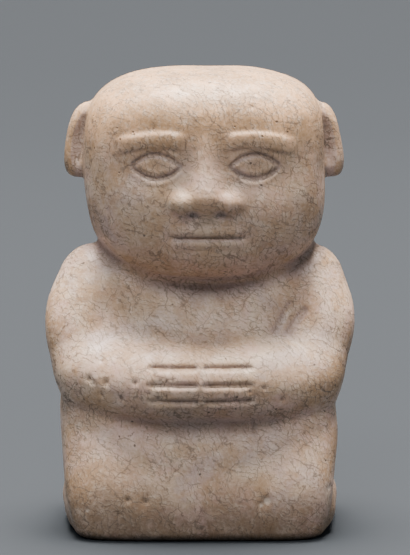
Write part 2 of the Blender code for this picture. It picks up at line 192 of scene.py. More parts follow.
# The face is a plain one, laid out on the canon of thirds between crown and chin, and five eyes
# wide.
FACE_THIRD = (CROWN_Z - CHIN_Z) / 3
BROW_Z = CHIN_Z + 2 * FACE_THIRD
NOSE_Z = CHIN_Z + FACE_THIRD
MOUTH_Z = CHIN_Z + 2 * FACE_THIRD / 3
EYE_WIDTH = 2 * HEAD_HALF_WIDTH / 5
EYE_X = EYE_WIDTH
EYE_Z = BROW_Z - 3.6
EYE_HALF_HEIGHT = 1.9
MOUTH_HALF_WIDTH = 0.75 * EYE_WIDTH

NOSE_POINTS = [
    (0.0, FACE_Y + 2.4, BROW_Z - 0.5),
    (0.0, FACE_Y + 1.7, (BROW_Z + NOSE_Z) / 2 + 1.0),
    (0.0, FACE_Y + 1.2, NOSE_Z + 3.0),
]
NOSE_RADII = [2.2, 2.8, 3.5]
NOSTRIL = dict(
    middle=(3.6, FACE_Y + 0.7, NOSE_Z + 2.2), half=(2.5, 2.5, 2.1), plan=2.0, side=2.0
)

# The hands, in parts: the cuts that part the fingers, the seam where the hands meet, and the
# forearm's half height there.
FINGER_CUTS = 3
FINGER_PITCH = 2.75
FINGER_TOP_Z = FOREARM_Z + 3.3
FINGER_CUT_REACH = 7.9
FINGER_CUT_DEPTH = 0.58
FINGER_CUT_WIDTH = 0.42
SEAM_DEPTH = 0.34
SEAM_WIDTH = 0.5
HAND_HALF_HEIGHT = ARM_RADII[-1] - 0.6

# The furrow down the back, in parts: its levels, depth and half width.
SPINE_FOOT_Z = LAP_TOP_Z - 7.5
SPINE_TOP_Z = CHIN_Z + 3.0
SPINE_DEPTH = 0.9
SPINE_WIDTH = 2.4

# Hand work: how far the carver's line wanders from true, and over what length.
WANDER = 0.2
WANDER_LENGTH = 31.0

# Wear on the front, in parts: burial pits and pale chips, as place across, level and radius, and
# grooves and a crack, as two ends, depth and half width.
PITS = [
    (-17.0, 31.4, 0.40),
    (-19.4, 28.2, 0.55),
    (-18.8, 26.9, 0.40),
    (-16.6, 27.6, 0.55),
    (-17.3, 25.3, 0.45),
    (-14.0, 25.0, 0.60),
    (-11.7, 27.9, 0.50),
    (-7.2, 28.4, 0.45),
    (-6.3, 28.1, 0.45),
    (-5.2, 28.7, 0.40),
    (-9.0, 25.9, 0.40),
    (-7.5, 25.0, 0.50),
    (-6.3, 25.4, 0.45),
    (8.3, 26.2, 0.45),
    (9.2, 25.3, 0.45),
    (10.8, 27.0, 0.36),
    (13.9, 24.4, 0.50),
    (-4.4, 22.0, 0.50),
    (-3.6, 21.4, 0.40),
    (-13.0, 7.9, 0.45),
    (-14.4, 5.0, 0.42),
    (-9.8, 7.2, 0.55),
    (-4.3, 12.7, 0.34),
    (-9.3, 8.9, 0.34),
    (-8.3, 70.8, 0.36),
    (8.6, 74.2, 0.34),
]
CHIPS = [(11.2, 7.0, 0.75), (10.3, 6.4, 0.50), (21.9, 8.6, 0.60), (-19.6, 5.2, 0.45)]
GROOVES = [
    ((14.9, 39.5), (12.6, 35.4), 0.42, 0.60),
    ((17.5, 38.5), (14.9, 34.8), 0.42, 0.60),
    ((8.8, 20.9), (8.7, 18.4), 0.22, 0.32),
    ((8.7, 18.4), (9.0, 16.0), 0.16, 0.30),
]

# How far from its place a spot may settle, how its distances are stretched, and how deep pits
# and chips are against their radius.
SPOT_REACH = 0.5
SPOT_STRETCH = (1.0, 0.6, 1.0)
PIT_DEPTH_SHARE = 0.6
CHIP_DEPTH_SHARE = 0.25

# Unevenness all over, in parts: depths and lengths, the waves in each, and the levels between
# which it sets in above the underside.
BROAD_DEPTH = 0.13
BROAD_LENGTH = 11.0
DENT_DEPTH = 0.06
DENT_LENGTH = 5.2
TOOTH_DEPTH = 0.016
TOOTH_LENGTH = 1.3
RIPPLE_WAVES = 26
WEAR_START_Z = 0.3
WEAR_FULL_Z = 1.5

# How far out the air is felt for cuts and for hollows, in parts.
CUT_REACH = 1.1
HOLLOW_REACH = 4.5

# The mesh, in parts: the skin's spacing, the rounds that even it out and draw it onto the form,
# the least slope and longest step of a round, the depth below the underside that the saw takes
# off, the most triangles kept, and the angle in degrees from which an edge stays sharp.
FINE_SPACING = 0.36
DRAW_ROUNDS = 5
RELAX_ROUNDS = 3
RELAX_SHARE = 0.5
SLOPE_PROBE = 0.04
LEAST_SLOPE = 0.4
LONGEST_STEP = 1.2
SAW_DEPTH = 0.12
SAW_TOLERANCE = 1e-4
MOST_TRIANGLES = 190000
SHARP_ANGLE = 60

# Colours of the stone and its stains, linear. The soil colour is also painted shade, in the tight
# creases and near the foot.
BUFF = (0.60, 0.455, 0.345, 1.0)
ROSE = (0.60, 0.43, 0.355, 1.0)
OCHRE = (0.43, 0.265, 0.140, 1.0)
BROWN = (0.29, 0.185, 0.110, 1.0)
CHALK = (0.80, 0.68, 0.57, 1.0)
LAVENDER = (0.42, 0.335, 0.345, 1.0)
HONEY = (0.72, 0.415, 0.200, 1.0)
PINK = (0.60, 0.385, 0.345, 1.0)
SOIL_AND_SHADE = (0.150, 0.100, 0.060, 1.0)
CRACK = (0.140, 0.105, 0.080, 1.0)
PIT = (0.045, 0.032, 0.025, 1.0)

# The height of the fine bump, in metres.
BUMP_DEPTH = 0.00010

# Where stains fade, in millimetres: above the foot for the soil and painted shade there, out
# from the middle line, and up the head for the weathering and for the honey tint.
FOOT_SOIL_AND_SHADE = 17.0
OUTER_START = 15.0
OUTER_END = 23.0
CROWN_START = 66.0
CROWN_END = 76.0
HONEY_START = 61.0
HONEY_END = 74.0

# Stage, light and camera, in metres, watts and degrees.
FLOOR_FRONT = -3.0
FLOOR_BACK = 0.7
FLOOR_BEND = 1.3
FLOOR_WALL = 3.0
FLOOR_WIDTH = 3.0
BEND_STEPS = 12
FLOOR_COLOUR = (0.0405, 0.0474, 0.0562, 1.0)
SKY_COLOUR = (0.84, 0.90, 1.0, 1.0)
SKY_STRENGTH = 0.05
AIM = Vector((0.0, 0.0, 0.045))
SOFTBOXES = [
    ("top_light", (0.00, 0.15, 2.20), 1.30, 300.0, (1.0, 0.90, 0.805)),
    ("high_front", (-0.25, -1.75, 2.00), 1.20, 41.0, (1.0, 0.96, 0.92)),
    ("left_fill", (-2.20, -0.40, 1.30), 1.20, 7.0, (0.98, 0.99, 1.0)),
    ("right_fill", (2.20, -0.40, 1.30), 1.20, 7.0, (1.0, 0.99, 0.97)),
    ("back_light", (0.40, 2.20, 1.50), 1.20, 14.0, (1.0, 0.99, 0.98)),
]
SENSOR = 36.0
CAMERA_DISTANCE = 0.6
CAMERA_RISE = 8.0
CLIP_START = 0.01
VIEW_HEIGHT = 0.0970
CAMERA_TARGET = Vector((0.0009, 0.0, 0.0431))


# Small helpers for points and soft joins

def smoothstep(low, high, value):
    """0 below low, 1 above high, and an even slope between."""
    t = np.clip((value - low) / (high - low), 0.0, 1.0)
    return t * t * (3 - 2 * t)


def bell(distance, width):
    """A soft bump of height 1 that fades out at about twice the width."""
    return np.exp(-((distance / width) ** 2))


def join(a, b, soft):
    """The union of two forms, with the corner between them filled over the soft distance."""
    h = np.clip(0.5 + 0.5 * (b - a) / soft, 0.0, 1.0)
    return b + (a - b) * h - soft * h * (1 - h)


def trim(a, b, soft):
    """What two forms have in common, with the edge between them rounded."""
    return -join(-a, -b, soft)


def smooth_path(points, steps):
    """Points on a Catmull-Rom curve through the given points."""
    nodes = np.array([points[0]] + list(points) + [points[-1]], float)
    found = []
    for i in range(1, len(nodes) - 2):
        before, start, end, after = nodes[i - 1 : i + 3]
        for t in np.linspace(0, 1, steps, endpoint=False):
            found.append(
                0.5
                * (
                    2 * start
                    + (end - before) * t
                    + (2 * before - 5 * start + 4 * end - after) * t**2
                    + (3 * start - before - 3 * end + after) * t**3
                )
            )
    return np.array(found + [nodes[-2]])


def smooth_limb(points, radii):
    """A limb's centre line and its radius at each point of it."""
    known = np.linspace(0, 1, len(radii))
    path = smooth_path(points, LIMB_STEPS)
    return path, np.interp(np.linspace(0, 1, len(path)), known, radii)


ARM = smooth_limb(ARM_POINTS, ARM_RADII)
FOREARM = [row[3 * LIMB_STEPS :] for row in ARM]
SHIN = smooth_limb(SHIN_POINTS, SHIN_RADII)
NOSE = smooth_limb(NOSE_POINTS, NOSE_RADII)


# Distances from the forms, negative inside, for rows of points in parts

def from_block(p, form):
    """Distance from a soft block, measured towards its middle."""
    q = (p - np.array(form["middle"])) / np.array(form["half"])
    plan, side = form["plan"], form["side"]
    flat = (np.abs(q[:, 0]) ** plan + np.abs(q[:, 1]) ** plan) ** (1 / plan)
    size = (flat**side + np.abs(q[:, 2]) ** side) ** (1 / side)
    reach = np.linalg.norm(p - np.array(form["middle"]), axis=1)
    return reach * (1 - 1 / np.maximum(size, 1e-3))


def from_limb(p, limb):
    """Distance from a round limb whose thickness changes along its path."""
    path, radii = limb
    nearest = np.full(len(p), 1e9)
    for start, end, r0, r1 in zip(path[:-1], path[1:], radii[:-1], radii[1:]):
        along = end - start
        t = np.clip((p - start) @ along / (along @ along), 0.0, 1.0)
        gap = np.linalg.norm(p - start - t[:, None] * along, axis=1)
        nearest = np.minimum(nearest, gap - (r0 + (r1 - r0) * t))
    return nearest


def beyond(p, plane):
    """How far points lie past a plane, on its outer side."""
    at, way = np.array(plane[0]), np.array(plane[1])
    return (p - at) @ (way / np.linalg.norm(way))


def mirrored(p):
    """The same points folded onto the figure's left side."""
    return np.column_stack([np.abs(p[:, 0]), p[:, 1], p[:, 2]])


def ears(p):
    """Two lobes that lean out below, dished towards the front."""
    leaning = p + EAR_SLANT * (p[:, 2:] - EAR_Z) * np.array([1.0, 0.0, 0.0])
    lobe = from_block(leaning, EAR)
    return trim(lobe, -from_block(leaning, EAR_HOLLOW), SOFT_EAR_RIM)


def head(p):
    """Broad head with a flat crown, a full jaw, a wide nose and ears that stand out."""
    p = p - np.array([HEAD_SHIFT, 0.0, 0.0])
    side = mirrored(p)
    dome = CROWN_DOME * (p[:, 0] ** 2 + p[:, 1] ** 2)
    skull = trim(from_block(p, HEAD), p[:, 2] + dome - CROWN_PLANE_Z, CROWN_EDGE)
    nose = join(from_limb(p, NOSE), from_block(side, NOSTRIL), SOFT_NOSTRIL)
    skull = join(skull, nose, SOFT_NOSE)
    return join(skull, ears(side), SOFT_EAR)


def legs(p, side):
    """The block of the lap and knees, the shins folded beside it, the seat and the feet."""
    narrowing = 1 - LAP_TAPER * (1 - np.clip(p[:, 2] / LAP_TOP_Z, 0.0, 1.0)) ** 2
    lap = from_block(np.column_stack([p[:, 0] / narrowing, p[:, 1], p[:, 2]]), LAP)
    lap = trim(lap, beyond(p, LAP_SLOPE), LAP_EDGE)
    lap = trim(lap, beyond(p, KNEE_SLOPE), KNEE_EDGE)
    block = join(lap, from_block(p, SEAT), SOFT_BODY)
    block = join(block, from_limb(side, SHIN), SOFT_LEG)
    return join(block, from_block(side, FOOT), SOFT_LEG)


def wandered(p):
    """Points moved a little to and fro, so that the two halves aren't a mirror's."""
    turn = 2 * np.pi * p / WANDER_LENGTH
    sway = ELBOW_SWAY * bell(p[:, 2] - FOREARM_Z, ELBOW_SWAY_REACH)
    across = WANDER * (np.sin(turn[:, 2] + 0.6) + np.sin(1.3 * turn[:, 1] + 1.9))
    back = WANDER * (np.sin(turn[:, 0] + 2.2) + np.sin(0.9 * turn[:, 2] + 0.3))
    return p + np.column_stack([across + sway, back, np.zeros(len(p))])


def figure(p):
    """The whole form without its relief."""
    side = mirrored(p)
    leaning = p - CHEST_LEAN * (p[:, 2:] - CHEST["middle"][2]) * np.array([0.0, 1.0, 0.0])
    torso = trim(from_block(p, TORSO), -from_block(leaning, CHEST), SOFT_BODY)
    torso = join(torso, from_limb(side, FOREARM), SOFT_CHEST)
    trunk = join(torso, legs(p, side), SOFT_BODY)
    trunk = join(trunk, from_limb(side, ARM), SOFT_ARM)
    return join(trunk, head(p), SOFT_JAW)


# Fine carving, as heights in parts above the form

def face_relief(x, z):
    """Brow bands, almond eyes with lids, a closed mouth, nostrils, cheeks and chin."""
    side = np.abs(x)
    brow_line = BROW_Z + 0.9 - 0.024 * (side - 0.9 * EYE_X) ** 2
    brow_ends = smoothstep(2.8, 5.2, side) * (1 - smoothstep(13.0, 16.0, side))
    brow = brow_ends * (0.42 * (1 - smoothstep(1.0, 1.7, np.abs(z - brow_line))))
    brow += brow_ends * 0.16 * bell(z - brow_line, 1.1)
    across = (side - EYE_X) / (EYE_WIDTH / 2)
    lid = EYE_HALF_HEIGHT * (1 - across**2)
    edge = np.abs(z - EYE_Z) - lid
    socket = -0.8 * bell(np.hypot(across / 1.35, (z - EYE_Z) / 3.2), 1.0)
    ball = 0.5 * (1 - smoothstep(-0.9, 0.1, edge))
    eye_ends = 1 - smoothstep(1.0, 1.15, np.abs(across))
    rim = -0.3 * bell(edge - 0.15, 0.34) * eye_ends
    fold = 0.2 * bell(edge - 0.95, 0.42) * eye_ends
    lip_ends = 1 - smoothstep(MOUTH_HALF_WIDTH - 1.2, MOUTH_HALF_WIDTH + 0.4, side)
    slit = -0.85 * bell(z - MOUTH_Z, 0.46) * lip_ends
    lips = 0.5 * lip_ends * bell(z - MOUTH_Z, 2.4)
    lip_line = -0.1 * lip_ends * bell(np.abs(z - MOUTH_Z) - 2.2, 0.4)
    corner = -0.3 * bell(np.hypot(side - MOUTH_HALF_WIDTH, z - MOUTH_Z), 0.9)
    cheek = 0.5 * bell(np.hypot(side - 11.5, z - NOSE_Z - 0.5), 5.5)
    chin = 0.7 * bell(np.hypot(side / 1.5, z - CHIN_Z - 3.6), 3.4)
    nostril = -0.6 * bell(np.hypot(side - 2.3, (z - NOSE_Z - 0.2) * 1.3), 0.8)
    eyes = socket + ball + rim + fold
    mouth = slit + lips + lip_line + corner
    return brow + eyes + mouth + cheek + chin + nostril


def hand_relief(x, z):
    """Four fingers on each hand, parted by three cuts, with a seam where the hands meet."""
    side = np.abs(x)
    reach = smoothstep(0.25, 0.8, side)
    reach *= 1 - smoothstep(FINGER_CUT_REACH, FINGER_CUT_REACH + 1.4, side)
    cuts = sum(
        bell(z - FINGER_TOP_Z + i * FINGER_PITCH, FINGER_CUT_WIDTH) for i in range(FINGER_CUTS)
    )
    on_hand = 1 - smoothstep(HAND_HALF_HEIGHT - 2.0, HAND_HALF_HEIGHT, np.abs(z - FOREARM_Z))
    return -FINGER_CUT_DEPTH * reach * cuts - SEAM_DEPTH * bell(side, SEAM_WIDTH) * on_hand


def grooved(x, z):
    """Slanting grooves beside the arm, and an open crack in the lap."""
    p = np.column_stack([x, z])
    total = np.zeros(len(p))
    for start, end, depth, width in GROOVES:
        along = np.subtract(end, start)
        t = np.clip((p - start) @ along / (along @ along), 0.0, 1.0)
        total -= depth * bell(np.linalg.norm(p - start - t[:, None] * along, axis=1), width)
    return total


def relief(p):
    """All carved relief on the front, and a shallow furrow down the back."""
    x, y, z = p.T
    front = smoothstep(3.0, 9.0, -y)
    on_face = front * smoothstep(CHIN_Z - 1.0, CHIN_Z + 1.5, z)
    on_hands = front * (1 - smoothstep(CHIN_Z - 10.0, CHIN_Z - 9.0, z))
    spine = -SPINE_DEPTH * bell(x, SPINE_WIDTH) * smoothstep(TORSO_Y + 6.2, TORSO_Y + 10.2, y)
    spine *= smoothstep(SPINE_FOOT_Z, SPINE_FOOT_Z + 8.0, z)
    spine *= 1 - smoothstep(SPINE_TOP_Z - 5.0, SPINE_TOP_Z, z)
    face = on_face * face_relief(x - HEAD_SHIFT, z)
    return face + on_hands * hand_relief(x - HAND_SHIFT, z) + front * grooved(x, z) + spine


def ripple(p, length, seed):
    """Smooth hand-made unevenness of about that length, from -1 to 1, the same on each run."""
    draw = np.random.default_rng(seed)
    total = np.zeros(len(p))
    for _ in range(RIPPLE_WAVES):
        way = draw.normal(size=3)
        way *= 2 * np.pi * draw.uniform(0.6, 1.5) / (length * np.linalg.norm(way))
        total += np.sin(p @ way + draw.uniform(0, 2 * np.pi))
    return total / np.sqrt(RIPPLE_WAVES / 2) / 2


def worn(p):
    """Unevenness left by hand polish and burial: broad flats, small dents and a fine tooth."""
    broad = BROAD_DEPTH * ripple(p, BROAD_LENGTH, seed=3)
    dents = -DENT_DEPTH * smoothstep(0.2, 1.1, ripple(p, DENT_LENGTH, seed=5))
    tooth = TOOTH_DEPTH * ripple(p, TOOTH_LENGTH, seed=8)
    return broad + dents + tooth


def settled(p, spots):
    """The middle of each spot on the front of the skin, and its radius."""
    found = []
    facing = p[p[:, 1] < LAP_Y]
    for x, z, radius in spots:
        near = facing[np.hypot(facing[:, 0] - x, facing[:, 2] - z) < SPOT_REACH]
        if len(near):
            found.append((near[np.argmin(near[:, 1])], radius))
    return found


def spotted(p, placed):
    """How far each point is inside one of the placed spots, and how deep the spots are there."""
    inside = np.zeros(len(p))
    depth = np.zeros(len(p))
    for middle, radius in placed:
        hollow = bell(np.linalg.norm((p - middle) * SPOT_STRETCH, axis=1), radius)
        depth += radius * hollow
        inside = np.maximum(inside, hollow)
    return inside, depth


def surface(p):
    """Distance from the carved surface, before wear."""
    bent = wandered(p)
    return trim(figure(bent) - relief(bent), -SAW_DEPTH - p[:, 2], BASE_EDGE)


# The mesh

def mesh_points(mesh):
    points = np.empty(len(mesh.vertices) * 3)
    mesh.vertices.foreach_get("co", points)
    return points.reshape(-1, 3)


def link(name, mesh):
    obj = bpy.data.objects.new(name, mesh)
    bpy.context.scene.collection.objects.link(obj)
    return obj


def with_modifier(mesh, kind, **settings):
    """A new mesh: the given one after one modifier."""
    obj = link("working_copy", mesh)
    modifier = obj.modifiers.new("step", kind)
    for name, value in settings.items():
        setattr(modifier, name, value)
    bpy.context.view_layer.update()
    graph = bpy.context.evaluated_depsgraph_get()
    made = bpy.data.meshes.new_from_object(obj.evaluated_get(graph))
    bpy.data.objects.remove(obj, do_unlink=True)
    bpy.data.meshes.remove(mesh)
    return made


def fused_skin(spacing):
    """An even skin over the solid, in the form's own parts."""
    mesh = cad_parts[NODE].data.copy()
    mesh = with_modifier(mesh, "REMESH", mode="VOXEL", voxel_size=spacing * PART)
    mesh.transform(Matrix.Scale(1 / PART, 4))
    front = ARM_POINTS[-1][1] - ARM_RADII[-1]
    back = FOOT["middle"][1] + FOOT["half"][1]
    mesh.transform(Matrix.Translation((0.0, (front + back) / 2, 0.0)))
    return mesh


def slope_of(points):
    """Distance from the carved surface and its slope at each point."""
    here = surface(points)
    steps = [surface(points + SLOPE_PROBE * axis) - here for axis in np.eye(3)]
    return here, np.column_stack(steps) / SLOPE_PROBE


def relaxed(points, edges):
    """Each point moved part of the way to the middle of its neighbours."""
    total = np.zeros_like(points)
    count = np.zeros(len(points))
    for near, far in (edges.T, edges.T[::-1]):
        for axis in range(3):
            total[:, axis] += np.bincount(near, points[far, axis], len(points))
        count += np.bincount(near, minlength=len(points))
    return points + RELAX_SHARE * (total / count[:, None] - points)


def draw_onto_form(mesh):
    """Moves each point of the skin along the form's slope until it lies on the surface."""
    points = mesh_points(mesh)
    edges = np.empty(len(mesh.edges) * 2, np.int32)
    mesh.edges.foreach_get("vertices", edges)
    edges = edges.reshape(-1, 2)
    for turn in range(DRAW_ROUNDS):
        if turn < RELAX_ROUNDS:
            points = relaxed(points, edges)
        here, slope = slope_of(points)
        steep = np.maximum(np.linalg.norm(slope, axis=1), LEAST_SLOPE)
        step = np.clip(here / steep, -LONGEST_STEP, LONGEST_STEP)
        points -= (step / steep)[:, None] * slope
    mesh.vertices.foreach_set("co", points.ravel())
    mesh.update()


def point_normals(mesh):
    normals = np.empty(len(mesh.vertices) * 3, np.float32)
    mesh.vertex_normals.foreach_get("vector", normals)
    return normals.reshape(-1, 3).astype(float)


def wear_down(mesh, pits, chips):
    """Moves the skin in and out along its normals by the wear, the pits and the chips."""
    points = mesh_points(mesh)
    above_floor = smoothstep(WEAR_START_Z, WEAR_FULL_Z, points[:, 2])
    lost = PIT_DEPTH_SHARE * spotted(points, pits)[1]
    lost = lost + CHIP_DEPTH_SHARE * spotted(points, chips)[1]
    height = above_floor * (worn(points) - lost)
    points += height[:, None] * point_normals(mesh)
    mesh.vertices.foreach_set("co", points.ravel())
    mesh.update()


def saw_underside(mesh):
    """Cuts the skin flat at the underside, and closes it with one face."""
    bm = bmesh.new()
    bm.from_mesh(mesh)
    everything = bm.verts[:] + bm.edges[:] + bm.faces[:]
    cut = bmesh.ops.bisect_plane(
        bm,
        geom=everything,
        dist=SAW_TOLERANCE,
        plane_co=(0, 0, 0),
        plane_no=(0, 0, 1),
        clear_inner=True,
    )
    rim = [e for e in cut["geom_cut"] if isinstance(e, bmesh.types.BMEdge)]
    bmesh.ops.holes_fill(bm, edges=rim)
    bmesh.ops.triangulate(bm, faces=[f for f in bm.faces if len(f.verts) > 4])
    bmesh.ops.recalc_face_normals(bm, faces=bm.faces[:])
    bm.to_mesh(mesh)
    bm.free()


def fit_to_solid(mesh):
    """Puts the mesh in the solid's box, in metres."""
    points = mesh_points(mesh)
    low, high = points.min(axis=0), points.max(axis=0)
    box_low, box_high = (np.array(corner) for corner in CAD_BOX)
    points = box_low + (points - low) * (box_high - box_low) / (high - low)
    mesh.vertices.foreach_set("co", points.ravel())
    mesh.update()


def add_attribute(mesh, name, values):
    layer = mesh.attributes.new(name, "FLOAT", "POINT")
    layer.data.foreach_set("value", np.clip(values, 0.0, 1.0).astype(np.float32))


def note_recesses(mesh, pits, chips):
    """Stores how closed in each point is near and further out, and how far in a pit or chip."""
    points = mesh_points(mesh)
    _, slope = slope_of(points)
    way = slope / np.maximum(np.linalg.norm(slope, axis=1), 1e-6)[:, None]
    # The near and far measures of how closed in each point is drive painted shade in the material's
    # creases and hollows.
    for name, reach in (("cut", CUT_REACH), ("hollow", HOLLOW_REACH)):
        open_air = surface(points + reach * way) / reach
        add_attribute(mesh, name, 1 - open_air)
    add_attribute(mesh, "pit", spotted(points, pits)[0])
    add_attribute(mesh, "chip", spotted(points, chips)[0])


def carved_stone():
    """Makes the figurine's fine mesh, on the solid's form."""
    mesh = fused_skin(FINE_SPACING)
    draw_onto_form(mesh)
    pits, chips = (settled(mesh_points(mesh), spots) for spots in (PITS, CHIPS))
    wear_down(mesh, pits, chips)
    faces = sum(len(f.vertices) - 2 for f in mesh.polygons)
    mesh = with_modifier(mesh, "DECIMATE", ratio=min(1.0, MOST_TRIANGLES / faces))
    saw_underside(mesh)
    note_recesses(mesh, pits, chips)
    fit_to_solid(mesh)
    mesh.shade_smooth()
    mesh.set_sharp_from_angle(angle=math.radians(SHARP_ANGLE))
    mesh.name = "carved_stone"
    piece = link("carved_stone", mesh)
    piece.data.materials.clear()
    piece.data.materials.append(pale_stone())
    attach(piece, "root")
    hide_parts(NODE)


# Materials

class Graph:
    """Short calls for a material's nodes. Lengths in it are millimetres on the object."""

    def __init__(self, name):
        self.material = bpy.data.materials.new(name)
        self.material.use_nodes = True
        self.tree = self.material.node_tree
        self.shader = self.tree.nodes["Principled BSDF"]
        place = self.tree.nodes.new("ShaderNodeTexCoord")
        scale = self.tree.nodes.new("ShaderNodeVectorMath")
        scale.operation = "SCALE"
        scale.inputs["Scale"].default_value = 1000.0
        self.tree.links.new(place.outputs["Object"], scale.inputs[0])
        self.place = scale.outputs[0]

    def set(self, socket, value):
        if isinstance(value, bpy.types.NodeSocket):
            self.tree.links.new(value, socket)
        else:
            socket.default_value = value

    def math(self, operation, a, b=0.0, clamp=False):
        node = self.tree.nodes.new("ShaderNodeMath")
        node.operation = operation
        node.use_clamp = clamp
        self.set(node.inputs[0], a)
        self.set(node.inputs[1], b)
        return node.outputs[0]

    def product(self, *values):
        total = values[0]
        for value in values[1:]:
            total = self.math("MULTIPLY", total, value)
        return total

    def ramp(self, value, low, high):
        """0 below low and 1 above high, or the other way round when low is above high."""
        node = self.tree.nodes.new("ShaderNodeMapRange")
        node.interpolation_type = "SMOOTHSTEP"
        flip = low > high
        self.set(node.inputs["Value"], value)
        self.set(node.inputs["From Min"], min(low, high))
        self.set(node.inputs["From Max"], max(low, high))
        self.set(node.inputs["To Min"], 1.0 if flip else 0.0)
        self.set(node.inputs["To Max"], 0.0 if flip else 1.0)
        return node.outputs["Result"]

    def shifted(self, vector, shift):
        """The vector moved aside, so that noises of one length differ."""
        node = self.tree.nodes.new("ShaderNodeMapping")
        self.set(node.inputs["Vector"], vector)
        node.inputs["Location"].default_value = (shift, shift, shift)
        return node.outputs[0]

    def noise(self, vector, length, detail=2.0, rough=0.5, output="Fac"):
        node = self.tree.nodes.new("ShaderNodeTexNoise")
        self.set(node.inputs["Vector"], vector)
        node.inputs["Scale"].default_value = 1 / length
        node.inputs["Detail"].default_value = detail
        node.inputs["Roughness"].default_value = rough
        return node.outputs[output]

    def warped(self, vector, length, reach, shift):
        """The vector pushed about by noise of that length, by up to about that reach."""
        moved = self.shifted(vector, shift)
        push = self.noise(moved, length, 2.0, 0.5, "Color")
        centred = self.tree.nodes.new("ShaderNodeVectorMath")
        centred.operation = "SUBTRACT"
        self.set(centred.inputs[0], push)
        centred.inputs[1].default_value = (0.5, 0.5, 0.5)
        scaled = self.tree.nodes.new("ShaderNodeVectorMath")
        scaled.operation = "MULTIPLY_ADD"
        self.set(scaled.inputs[0], centred.outputs[0])
        scaled.inputs[1].default_value = (2 * reach,) * 3
        self.set(scaled.inputs[2], vector)
        return scaled.outputs[0]

    def cells(self, vector, size):
        """Scattered middles about that size apart, with the distance from the nearest."""
        node = self.tree.nodes.new("ShaderNodeTexVoronoi")
        node.feature = "F1"
        self.set(node.inputs["Vector"], vector)
        node.inputs["Scale"].default_value = 1 / size
        return node

    def mix(self, factor, a, b):
        node = self.tree.nodes.new("ShaderNodeMix")
        node.data_type = "RGBA"
        self.set(node.inputs[0], factor)
        self.set(node.inputs[6], a)
        self.set(node.inputs[7], b)
        return node.outputs[2]

    def axes(self, vector):
        node = self.tree.nodes.new("ShaderNodeSeparateXYZ")
        self.set(node.inputs[0], vector)
        return node.outputs["X"], node.outputs["Y"], node.outputs["Z"]

    def along(self, vector, way):
        node = self.tree.nodes.new("ShaderNodeVectorMath")
        node.operation = "DOT_PRODUCT"
        self.set(node.inputs[0], vector)
        node.inputs[1].default_value = way
        return node.outputs["Value"]

    def channels(self, colour):
        node = self.tree.nodes.new("ShaderNodeSeparateColor")
        self.set(node.inputs[0], colour)
        return node.outputs["Red"], node.outputs["Green"], node.outputs["Blue"]

    def attribute(self, name):
        node = self.tree.nodes.new("ShaderNodeAttribute")
        node.attribute_name = name
        return node.outputs["Fac"]


def contour(g, value, level, reach):
    """A thin line where a value passes a level: 1 on the line and 0 past its reach."""
    off = g.math("ABSOLUTE", g.math("SUBTRACT", value, level))
    return g.ramp(off, reach, 0.35 * reach)


def wandering(g, vector, way, spacing, bend, stray, jag, shake):
    """A value that climbs from 0 to 1 again and again along the way, bent and jagged."""
    phase = g.math("ADD", g.along(vector, [w / spacing for w in way]), g.product(bend, stray))
    return g.math("FRACT", g.math("ADD", phase, g.product(jag, shake)))


def strands(g, vector, way, spacing, stray, seed):
    """Thin flowing lines side by side, across the given way, and a pale edge beside each, partly a
    whitish fibre and partly a painted highlight.
    """
    bend = g.noise(g.shifted(vector, seed), 3.6, 2.0, 0.5)
    jag = g.noise(g.shifted(vector, seed + 4.0), 0.8, 2.0, 0.6)
    phase = wandering(g, vector, way, spacing, bend, stray, jag, 1.3)
    return contour(g, phase, 0.5, 0.12), contour(g, phase, 0.74, 0.18)


def crack(g, vector, way, spacing, stray, reach, patch, seed):
    """Long cracks that wander across the given way, broken into stretches."""
    bend = g.noise(g.shifted(vector, seed), 2.2 * spacing, 3.0, 0.6)
    jag = g.noise(g.shifted(vector, seed + 4.0), 1.1, 2.0, 0.7)
    phase = wandering(g, vector, way, spacing, bend, stray, jag, 1.1 / spacing)
    line = contour(g, phase, 0.5, reach / spacing)
    shown = g.ramp(g.noise(g.shifted(vector, seed + 3.7), patch, 1.0), 0.48, 0.56)
    return g.product(line, shown)


